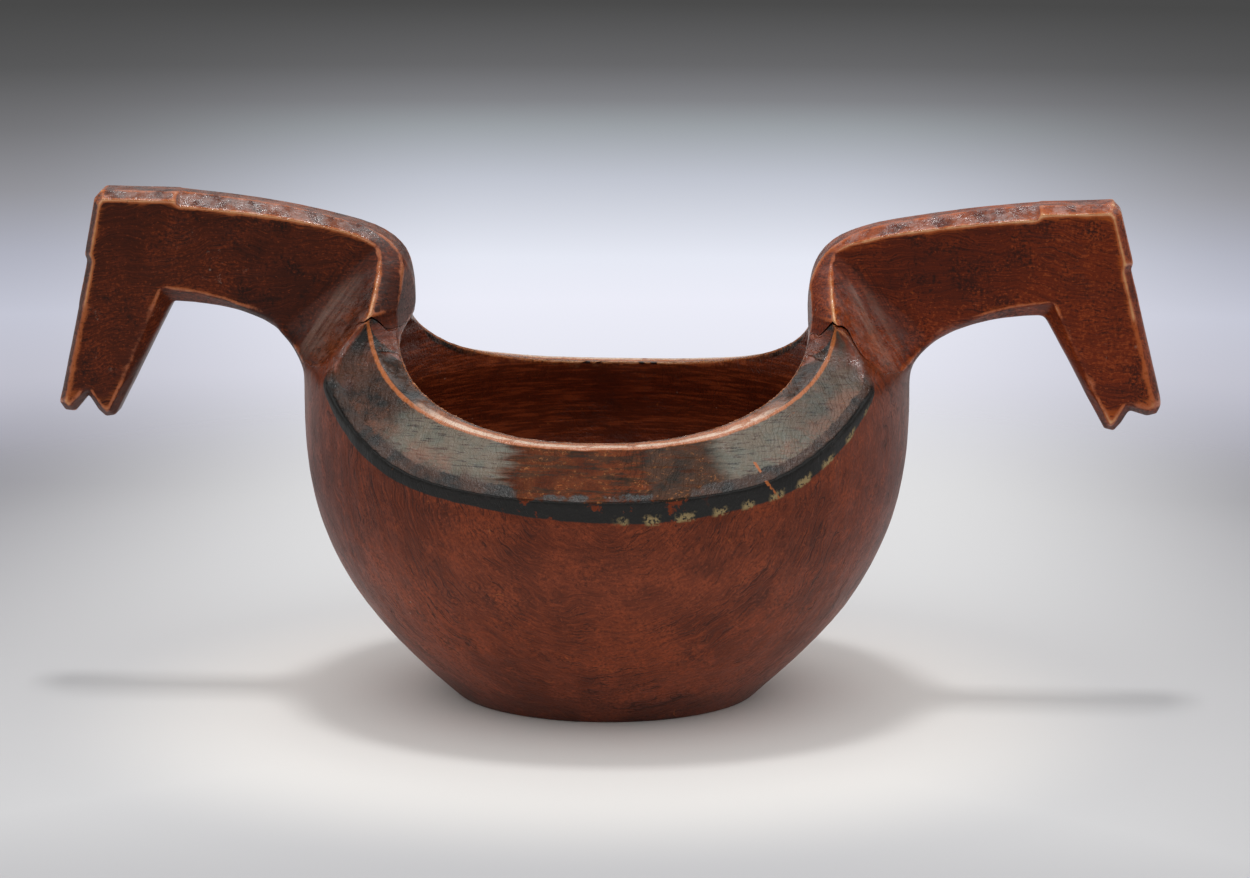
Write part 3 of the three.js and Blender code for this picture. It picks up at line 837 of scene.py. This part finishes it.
# The bowl's colours, and where they lie: bearings in degrees, radii and heights in millimetres,
# and stripeFoot, tanTop and tanFoot as shares of the stripe's depth
bandPaint = {
    "green": "#666456",
    "shade": "#26251f",
    "darkGreen": "#221e15",
    "rubbed": "#43200f",
    "chip": "#a0683c",
    "black": "#14120f",
    "pink": "#8d5a45",
    "tan": "#a08a5e",
    "neck": "#66290f",
    # polished: the rim top's polished wood, painted near white as a highlight as well
    "polished": "#f0cdb2",
    "inside": "#7c3419",
    "insideBright": "#a5502a",
    "streakStretch": (0.12, 0.12, 1.6),
    "streakMm": 1.6,
    "fineStreakMm": 0.7,
    "flakeMm": 2.4,
    "bandEdge": (-1.1, -0.5),
    "bandDrops": 0.9,
    "bandDropsFrom": (50, 66),
    "neckHeight": (96, 128),
    "neckBearing": (58, 72),
    "greenLeft": (-14, -21),
    "greenRight": (24, 30),
    "blackGreen": (10, 13),
    "shadeStreaks": (0.46, 0.58),
    "greenFlakes": (0.56, 0.62),
    "blackGreenFlakes": (0.62, 0.52),
    "chips": (0.57, 0.61),
    "fineStreaks": (0.52, 0.66),
    "blackEnds": (40, 51),
    "blackestLeft": (-20, 20, 1.0, 0.45),
    "blackBelow": (98, 103),
    "pinkFrom": (94, 99),
    "stripeEnds": (66, 63),
    "stripeTop": (-0.6, -1.0),
    "stripeFoot": (1.06, 0.96),
    "flakingLeft": (-18, -12),
    "flakingRight": (24, 16),
    "flakedBy": 0.9,
    "underArris": (99.5, 103.5),
    "lowerAtArris": -1.6,
    "tanFrom": 9,
    "tanEvery": 6.1,
    "tanWander": 6.0,
    "tanWidth": (2.0, 0.8),
    "tanLeft": (4, 8),
    "tanRight": (62, 58),
    "tanTop": (0.6, 0.9),
    "tanFoot": (1.16, 1.02),
    "footHeight": (13, 7),
    "hollowDark": (0.62, 0.4),
    "hollowBright": (0.5, 0.66),
    "hollowSpecks": (0.62, 0.68),
    "rimTop": (-1.0, -0.5),
    "rimOuter": (86.9, 86.3),
    "rimLine": (1.2, 0.5),
    "nearRim": (-1.6, -0.9),
    "lipDepth": (-3.4, -2.2),
    "lipBearing": (36, 50),
    "rubbedRimLeft": (-48, -30),
    "rubbedRimRight": (52, 36),
    "rubbedRimInner": (78.5, 80.5),
    "rubbedRimOuter": (87.4, 86.6),
    "polishAndHighlightInner": (82.0, 83.6),
    "polishAndHighlightOuter": (86.6, 85.4),
    "sparedRadius": (89, 92),
    "sparedBelow": (-6, -3),
    "scratchWidth": (0.6, 0.3),
}


# Grey-green band round the mouth: rubbed down to red in front, with dark green left in it, and
# turning black towards the necks
def paintedBand(tree, paint, on, extra):
    bearing, radius, aside = on["bearing"], on["radius"], on["aside"]
    blotch, mottle, fleck, flaky = (on[key] for key in ("blotch", "mottle", "fleck", "flaky"))
    drop = product(tree, ragged(tree, aside, extra["bandDropsFrom"]), -extra["bandDrops"])
    height = add(tree, "Math", [drop, on["overBand"]], operation="ADD")
    on["onBand"] = ragged(tree, height, extra["bandEdge"], mottle, 0.8)
    neck = product(tree, ragged(tree, on["z"], extra["neckHeight"]),
                   ragged(tree, aside, extra["neckBearing"]), 0.75)
    paint = coat(tree, paint, neck, extra["neck"], 0.42)

    rubbed = coat(tree, paint, 0.6, extra["rubbed"], 0.6)
    worn = {"colour": rubbed["colour"], "roughness": 0.6, "gloss": 0.1}
    shade = product(tree, ragged(tree, on["streak"], extra["shadeStreaks"], fleck, 0.2), 0.75)
    worn = coat(tree, worn, shade, extra["shade"], 0.6)
    flakes = product(tree, ragged(tree, flaky, extra["greenFlakes"]), 0.7)
    worn = coat(tree, worn, flakes, extra["darkGreen"], 0.6)
    blackGreen = product(tree, ragged(tree, bearing, extra["blackGreen"], flaky, 12),
                         ragged(tree, flaky, extra["blackGreenFlakes"]), 0.9)
    worn = coat(tree, worn, blackGreen, extra["darkGreen"], 0.5, 0.2)
    chips = product(tree, ragged(tree, on["speck"], extra["chips"]),
                    ragged(tree, mottle, (0.46, 0.6)), 0.75)
    worn = coat(tree, worn, chips, extra["chip"], 0.6)

    left = ragged(tree, bearing, extra["greenLeft"], flaky, 18)
    right = ragged(tree, bearing, extra["greenRight"], flaky, 9)
    band = {"colour": linear(extra["green"]), "roughness": 0.42, "gloss": 0.55}
    fine = ragged(tree, on["fineStreak"], extra["fineStreaks"])
    band = coat(tree, band, fine, extra["shade"], 0.36)
    lower = product(tree, ragged(tree, radius, extra["blackBelow"], mottle, 8), left)
    band = coat(tree, band, lower, extra["black"], 0.34)
    blackest = add(tree, "MapRange", [bearing, *extra["blackestLeft"]])
    on["blackEnd"] = product(tree, ragged(tree, aside, extra["blackEnds"], mottle, 10), blackest)
    band = coat(tree, band, on["blackEnd"], extra["black"], 0.24, 0.3)
    pink = product(tree, ragged(tree, blotch, (0.5, 0.6), fleck, 0.2),
                   ragged(tree, radius, extra["pinkFrom"], mottle, 8), 0.45)
    band = coat(tree, band, pink, extra["pink"], 0.42)

    green = add(tree, "Math", [left, right], operation="MAXIMUM")
    paint = coat(tree, paint, on["onBand"], *worn.values())
    return coat(tree, paint, product(tree, on["onBand"], green), *band.values())


# Black stripe, flaked along its top edge in front and spotted with tan along its lower edge
def paintedStripe(tree, paint, on, look, extra):
    bearing, downStripe = on["bearing"], on["downStripe"]
    mottle, fleck = on["mottle"], on["fleck"]
    flaking = product(tree, ragged(tree, bearing, extra["flakingLeft"]),
                      ragged(tree, bearing, extra["flakingRight"]))
    outer = ragged(tree, on["radius"], extra["underArris"])
    height = on["overBand"]
    for mask, lift in ((outer, extra["lowerAtArris"]), (flaking, extra["flakedBy"])):
        height = add(tree, "Math", [mask, lift, height], operation="MULTIPLY_ADD")
    stripe = product(tree, ragged(tree, height, extra["stripeTop"], mottle, 2.8),
                     ragged(tree, downStripe, extra["stripeFoot"], mottle, 0.16),
                     ragged(tree, on["aside"], extra["stripeEnds"]))
    black = {"colour": linear(extra["black"]), "roughness": 0.36, "gloss": 0.45}
    faded = product(tree, ragged(tree, fleck, (0.6, 0.68)), 0.5)
    black = coat(tree, black, faded, extra["shade"], 0.5)
    paint = coat(tree, paint, stripe, *black.values())
    lost = product(tree, flaking, stripe, ragged(tree, mottle, (0.58, 0.63)))
    paint = coat(tree, paint, lost, look["main"], 0.5, 0.2)

    half, wander = extra["tanEvery"] / 2, extra["tanWander"]
    shifted = add(tree, "Math", [bearing, extra["tanFrom"]], operation="SUBTRACT")
    shifted = add(tree, "Math", [on["blotch"], wander, shifted], operation="MULTIPLY_ADD")
    beat = add(tree, "Math", [shifted, half, -half], operation="WRAP")
    beat = add(tree, "Math", [beat], operation="ABSOLUTE")
    spots = product(tree, ragged(tree, beat, extra["tanWidth"], mottle, 2.0),
                    ragged(tree, downStripe, extra["tanTop"], fleck, 0.7),
                    ragged(tree, downStripe, extra["tanFoot"], mottle, 0.2),
                    ragged(tree, bearing, extra["tanLeft"]),
                    ragged(tree, bearing, extra["tanRight"]),
                    ragged(tree, fleck, (0.4, 0.52)))
    paint = coat(tree, paint, spots, extra["tan"], 0.6)
    # Darker towards the foot: painted shade where the lower belly looks down at its shadow, and
    # grime
    footShadeAndGrime = product(tree, ragged(tree, on["z"], extra["footHeight"], mottle, 2.0), 0.3)
    return coat(tree, paint, footShadeAndGrime, look["grain"], 0.5)


# The hollow is dark and glossy. The rim's flat top is black, and near the necks so are the
# first millimetres inside it
def paintedHollow(tree, paint, on, look, extra):
    inside, streak, mottle = on["inside"], on["streak"], on["mottle"]
    paint = coat(tree, paint, product(tree, inside, 0.7), extra["inside"], 0.24, 0.6)
    dark = ragged(tree, streak, extra["hollowDark"], on["fleck"], 0.3)
    paint = coat(tree, paint, product(tree, inside, dark, 0.5), look["grain"], 0.3)
    bright = ragged(tree, streak, extra["hollowBright"], on["blotch"], 0.3)
    paint = coat(tree, paint, product(tree, inside, bright, 0.6), extra["insideBright"], 0.3)
    specks = ragged(tree, on["speck"], extra["hollowSpecks"])
    paint = coat(tree, paint, product(tree, inside, specks, 0.7), look["bare"], 0.3)
    rimTop = product(tree, ragged(tree, on["overRim"], extra["rimTop"], mottle, 0.6),
                     ragged(tree, on["radius"], extra["rimOuter"], mottle, 1))
    paint = coat(tree, paint, rimTop, extra["black"], 0.32)
    lip = product(tree, inside, ragged(tree, on["overRim"], extra["lipDepth"], mottle, 3),
                  ragged(tree, on["aside"], extra["lipBearing"]))
    return coat(tree, paint, lip, extra["black"], 0.32)


# The rim is rubbed to bare wood along its outer arris, and in front and behind its top is painted
# pale: polished wood with a painted highlight
def rubbedRimWithHighlight(tree, paint, on, look, extra):
    radius, bearing, mottle = on["radius"], on["bearing"], on["mottle"]
    fromArris = add(tree, "Math", [radius, mouth["rimRadius"]], operation="SUBTRACT")
    fromArris = add(tree, "Math", [fromArris], operation="ABSOLUTE")
    nearRim = ragged(tree, on["overRim"], extra["nearRim"])
    line = product(tree, ragged(tree, fromArris, extra["rimLine"], mottle, 1.2), nearRim)
    paint = coat(tree, paint, line, look["bare"], 0.34)
    rubbed = product(tree, ragged(tree, radius, extra["rubbedRimOuter"], mottle, 1.6), nearRim,
                     ragged(tree, bearing, extra["rubbedRimLeft"], mottle, 24),
                     ragged(tree, bearing, extra["rubbedRimRight"], mottle, 24),
                     ragged(tree, radius, extra["rubbedRimInner"], mottle, 2.5))
    paint = coat(tree, paint, rubbed, look["bare"], 0.26, 0.9)
    # Polished wood and a painted highlight: near white on the rim's top
    polished = product(tree, rubbed, ragged(tree, radius, extra["polishAndHighlightInner"], mottle, 3.0),
                       ragged(tree, radius, extra["polishAndHighlightOuter"], on["fleck"], 1.6),
                       ragged(tree, mottle, (0.36, 0.5)), ragged(tree, on["fleck"], (0.3, 0.44)))
    return coat(tree, paint, polished, extra["polished"], 0.2, 1.0)


# Green, black and tan oil paint brushed on over the red, then rubbed and flaked with use: matt
# where it is worn thin and softly glossy where hands polished it
def bowlPaint(name, look, extra):
    material, tree, at, on = newMaterial(name, bowlAttributes, bowlNoises)
    drawn = add(tree, "Mapping", [at, None, None, extra["streakStretch"]])
    on["streak"] = add(tree, "TexNoise", [drawn, None, 1 / extra["streakMm"], 4, 0.6])
    on["fineStreak"] = add(tree, "TexNoise", [drawn, None, 1 / extra["fineStreakMm"], 3, 0.6])
    on["flaky"] = add(tree, "TexNoise", [drawn, None, 1 / extra["flakeMm"], 5, 0.75])
    on["aside"] = add(tree, "Math", [on["bearing"]], operation="ABSOLUTE")
    paint = redPaint(tree, at, on, look)
    paint = paintedBand(tree, paint, on, extra)
    paint = paintedStripe(tree, paint, on, look, extra)
    paint = paintedHollow(tree, paint, on, look, extra)
    spared = product(tree, ragged(tree, on["radius"], extra["sparedRadius"]),
                     ragged(tree, on["overBand"], extra["sparedBelow"]))
    paint = handledAndHighlighted(tree, at, paint, on, look, spared)
    scratch = ragged(tree, on["scratch"], extra["scratchWidth"], on["fleck"], 0.8)
    paint = coat(tree, paint, scratch, look["bare"], 0.5)
    paint = rubbedRimWithHighlight(tree, paint, on, look, extra)
    blackBand = product(tree, on["onBand"], on["blackEnd"])
    deeper = add(tree, "Math", [on["inside"], blackBand], operation="MAXIMUM")
    finish(tree, paint, on, deeper, on["onBand"])
    return material


# The two handles were painted and handled apart: the left one is darker, the right one redder
leftPaint = {
    **bodyPaint,
    "main": "#592410",
    "deep": "#431a0b",
    "bright": "#6d2d16",
    "grain": "#230f09",
    "spark": "#8a3d1c",
    "bare": "#b05a28",
    "paleWearAndHighlight": "#eaa56c",
    "pith": (-110, -260),
    "grainMask": (0.5, 0.75),
    "wearFrom": 0.07,
    "wearTo": 0.17,
    "flecks": 0.7,
    "topWear": 0.35,
    "broadWear": 0.7,
    "soot": 0.9,
    "scuffs": 0.8,
}
rightPaint = {
    **leftPaint,
    "main": "#782c10",
    "deep": "#561e0b",
    "bright": "#8a3614",
    "grain": "#2a110a",
    "spark": "#a34a20",
    "bare": "#b5561f",
    "paleWearAndHighlight": "#f0b47c",
    "pith": (110, -260),
    "flecks": 0.75,
    "topWear": 0.5,
    "broadWear": 0.9,
    "soot": 0.7,
    "scuffs": 0.9,
}
paints = {
    "bowl": bowlPaint("rubbedRedGreenBlackOilPaint", bodyPaint, bandPaint),
    "handle_left": handlePaint("handledRedOilPaintDark", leftPaint),
    "handle_right": handlePaint("handledRedOilPaint", rightPaint),
}
for node, piece in pieces.items():
    piece.data.materials.clear()
    piece.data.materials.append(paints[node])
    piece.data.polygons.foreach_set("material_index", np.zeros(len(piece.data.polygons), np.int32))
    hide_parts(node)
    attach(piece, "root")

pegPaint = {
    "wood": "#c2995f",
    "line": "#94683a",
    "lineStretch": (1, 1, 0.08),
    "lineMm": 0.9,
    "lineMask": (0.45, 0.65),
}


# Split birch dowel, never painted: pale straw with grey-brown lines along its length, matt
def bareBirch(look):
    material, tree, at, _ = newMaterial("bareBirchPeg")
    drawn = add(tree, "Mapping", [at, None, None, look["lineStretch"]])
    lines = add(tree, "TexNoise", [drawn, None, 1 / look["lineMm"], 3, 0.55])
    paint = {"colour": linear(look["wood"]), "roughness": 0.62, "gloss": 0.5}
    paint = coat(tree, paint, ragged(tree, lines, look["lineMask"]), look["line"], 0.7)
    shader = tree.nodes["Principled BSDF"]
    tree.links.new(paint["colour"], shader.inputs["Base Color"])
    tree.links.new(paint["roughness"], shader.inputs["Roughness"])
    shader.inputs["Specular IOR Level"].default_value = paint["gloss"]
    return material


pegWood = bareBirch(pegPaint)
for node in ("peg_left", "peg_right"):
    for holder in frame["nodes"][node].material_slots:
        holder.material = pegWood
print("stage: materials")

# Studio: one lamp overhead, an even room, and a sweep that is pale behind and dark on top.
# The floor shades and fades by millimetres, and the sweep's colours go by degrees above the
# horizon. The lamp's place and size and the floor's radius are in metres
studio = {
    "floorRadius": 0.8,
    "floorFades": (340, 660),
    "floorColour": "#dcdcdd",
    # The paper is painted lighter round the bowl as painted light, and greyer at the sides and in
    # front as painted shade
    "floorPaintedLight": "#f8f6f3",
    "floorPaintedShade": "#8e8d93",
    "floorRoughness": 0.9,
    "floorGloss": 0.1,
    "paintedLightCentre": (0, -45, 0),
    "paintedLightFades": (200, 110),
    "sideShade": (90, 330),
    "sideShadeDeep": (-80, 340, 0.45, 1.0),
    "frontShade": (-110, -290),
    "frontShadeShare": 0.4,
    "roomLow": 1.1,
    "roomHigh": 0.86,
    "roomDark": 0.14,
    "roomLightens": (0.16, 0.5),
    "roomBelow": (-0.5, 0.5, 0.2, 0.75),
    "horizon": (0.0, -0.05),
    "lampPlace": (-0.04, 0.13, 2.2),
    "lampSize": 0.3,
    "lampWatts": 11,
    "sweepFrom": -12.0,
    "sweepTo": -6.0,
    "sweepCentre": -0.055,
    "sweepAside": (0.03, 0.135),
    "sweepMiddle": {
        -12.0: "#d9d9e2", -9.5: "#ecedf8", -9.0: "#e6e9f4", -8.1: "#c1c5d0",
        -7.5: "#9ba0a5", -7.2: "#818286", -6.8: "#676769", -6.1: "#4b4b4b",
    },
    "sweepSides": {
        -11.7: "#949499", -11.0: "#b1b1bd", -10.3: "#c0c0cc", -9.6: "#c4c6d4", -8.9: "#afb1be",
        -8.2: "#939399", -7.5: "#757578", -6.8: "#585859", -6.1: "#494949",
    },
}


# Pale paper that fades out into the sweep, with painted light brightening it round the bowl, which
# lightens the bowl's shadow, and painted shade greying it at the sides and in front
def makeFloor():
    deselectAll()
    bpy.ops.mesh.primitive_circle_add(vertices=96, radius=studio["floorRadius"], fill_type="NGON")
    floor = bpy.context.object
    floor.name = "studioFloor"
    material, tree, at, _ = newMaterial("paleStudioPaper")
    shader = tree.nodes["Principled BSDF"]
    x, y = (add(tree, "SeparateXYZ", [at], out=axis) for axis in ("X", "Y"))
    side = ragged(tree, add(tree, "Math", [x], operation="ABSOLUTE"), studio["sideShade"])
    side = product(tree, side, add(tree, "MapRange", [y, *studio["sideShadeDeep"]]))
    front = product(tree, ragged(tree, y, studio["frontShade"]), studio["frontShadeShare"])
    shade = add(tree, "Math", [side, front], operation="MAXIMUM")
    # Painted light: the paper brightens round the bowl, so that the bowl's shadow is paler
    centre = studio["paintedLightCentre"]
    fromPaintedLight = add(tree, "VectorMath", [at, centre], out="Value", operation="DISTANCE")
    near = ragged(tree, fromPaintedLight, studio["paintedLightFades"])
    plain, bright, edge = (linear(studio[key]) for key in ("floorColour", "floorPaintedLight", "floorPaintedShade"))
    colour = add(tree, "Mix", {0: near, 6: plain, 7: bright}, out=2, data_type="RGBA")
    colour = add(tree, "Mix", {0: shade, 6: colour, 7: edge}, out=2, data_type="RGBA")
    tree.links.new(colour, shader.inputs["Base Color"])
    shader.inputs["Roughness"].default_value = studio["floorRoughness"]
    shader.inputs["Specular IOR Level"].default_value = studio["floorGloss"]
    away = add(tree, "VectorMath", [at], out="Value", operation="LENGTH")
    fade = ragged(tree, away, studio["floorFades"])
    mixed = add(tree, "MixShader", [fade, shader.outputs[0], add(tree, "BsdfTransparent")])
    tree.links.new(mixed, tree.nodes["Material Output"].inputs["Surface"])
    floor.data.materials.append(material)


def makeLamp():
    bpy.ops.object.light_add(type="AREA", location=studio["lampPlace"])
    lamp = bpy.context.object
    lamp.name = "overheadLamp"
    lamp.data.shape = "RECTANGLE"
    lamp.data.size = lamp.data.size_y = studio["lampSize"]
    lamp.data.energy = studio["lampWatts"]


# The sweep's shades from its lowest to its highest angle, which a share from 0 to 1 runs through
def sweepShades(tree, share, stops):
    low, high = studio["sweepFrom"], studio["sweepTo"]
    output = add(tree, "ValToRGB", [share])
    ramp = output.node.color_ramp
    while len(ramp.elements) < len(stops):
        ramp.elements.new(0.5)
    for element, place in zip(ramp.elements, sorted(stops)):
        element.position = (place - low) / (high - low)
        element.color = linear(stops[place])
    return output


# The room gives an even light; only the camera sees the sweep's shades
def makeWorld():
    world = bpy.data.worlds.new("studioWorld")
    bpy.context.scene.world = world
    world.use_nodes = True
    tree = world.node_tree
    way = add(tree, "TexCoord", out="Generated")
    x, y, z = (add(tree, "SeparateXYZ", [way], out=axis) for axis in "XYZ")
    even = add(tree, "MapRange", [z, 0.0, 1.0, studio["roomLow"], studio["roomHigh"]])
    lightens = ragged(tree, z, studio["roomLightens"])
    above = add(tree, "Mix", {0: lightens, 2: studio["roomDark"], 3: even})
    below = add(tree, "MapRange", [y, *studio["roomBelow"]])
    strength = add(tree, "Mix", {0: ragged(tree, z, studio["horizon"]), 2: above, 3: below})
    room = add(tree, "Background", [(1, 1, 1, 1), strength])
    angle = add(tree, "Math", [z], operation="ARCSINE")
    angle = add(tree, "Math", [angle, 180 / math.pi], operation="MULTIPLY")
    share = add(tree, "MapRange", [angle, studio["sweepFrom"], studio["sweepTo"]])
    aside = add(tree, "Math", [x, y], operation="DIVIDE")
    aside = add(tree, "Math", [aside, studio["sweepCentre"]], operation="SUBTRACT")
    aside = ragged(tree, add(tree, "Math", [aside], operation="ABSOLUTE"), studio["sweepAside"])
    middle = sweepShades(tree, share, studio["sweepMiddle"])
    sides = sweepShades(tree, share, studio["sweepSides"])
    shade = add(tree, "Mix", {0: aside, 6: middle, 7: sides}, out=2, data_type="RGBA")
    seen = add(tree, "Background", [shade, 1.0])
    isCamera = add(tree, "LightPath", out="Is Camera Ray")
    mixed = add(tree, "MixShader", [isCamera, room, seen])
    tree.links.new(mixed, tree.nodes["World Output"].inputs["Surface"])


makeFloor()
makeLamp()
makeWorld()
bpy.context.scene.view_settings.view_transform = "Standard"
print("stage: studio")
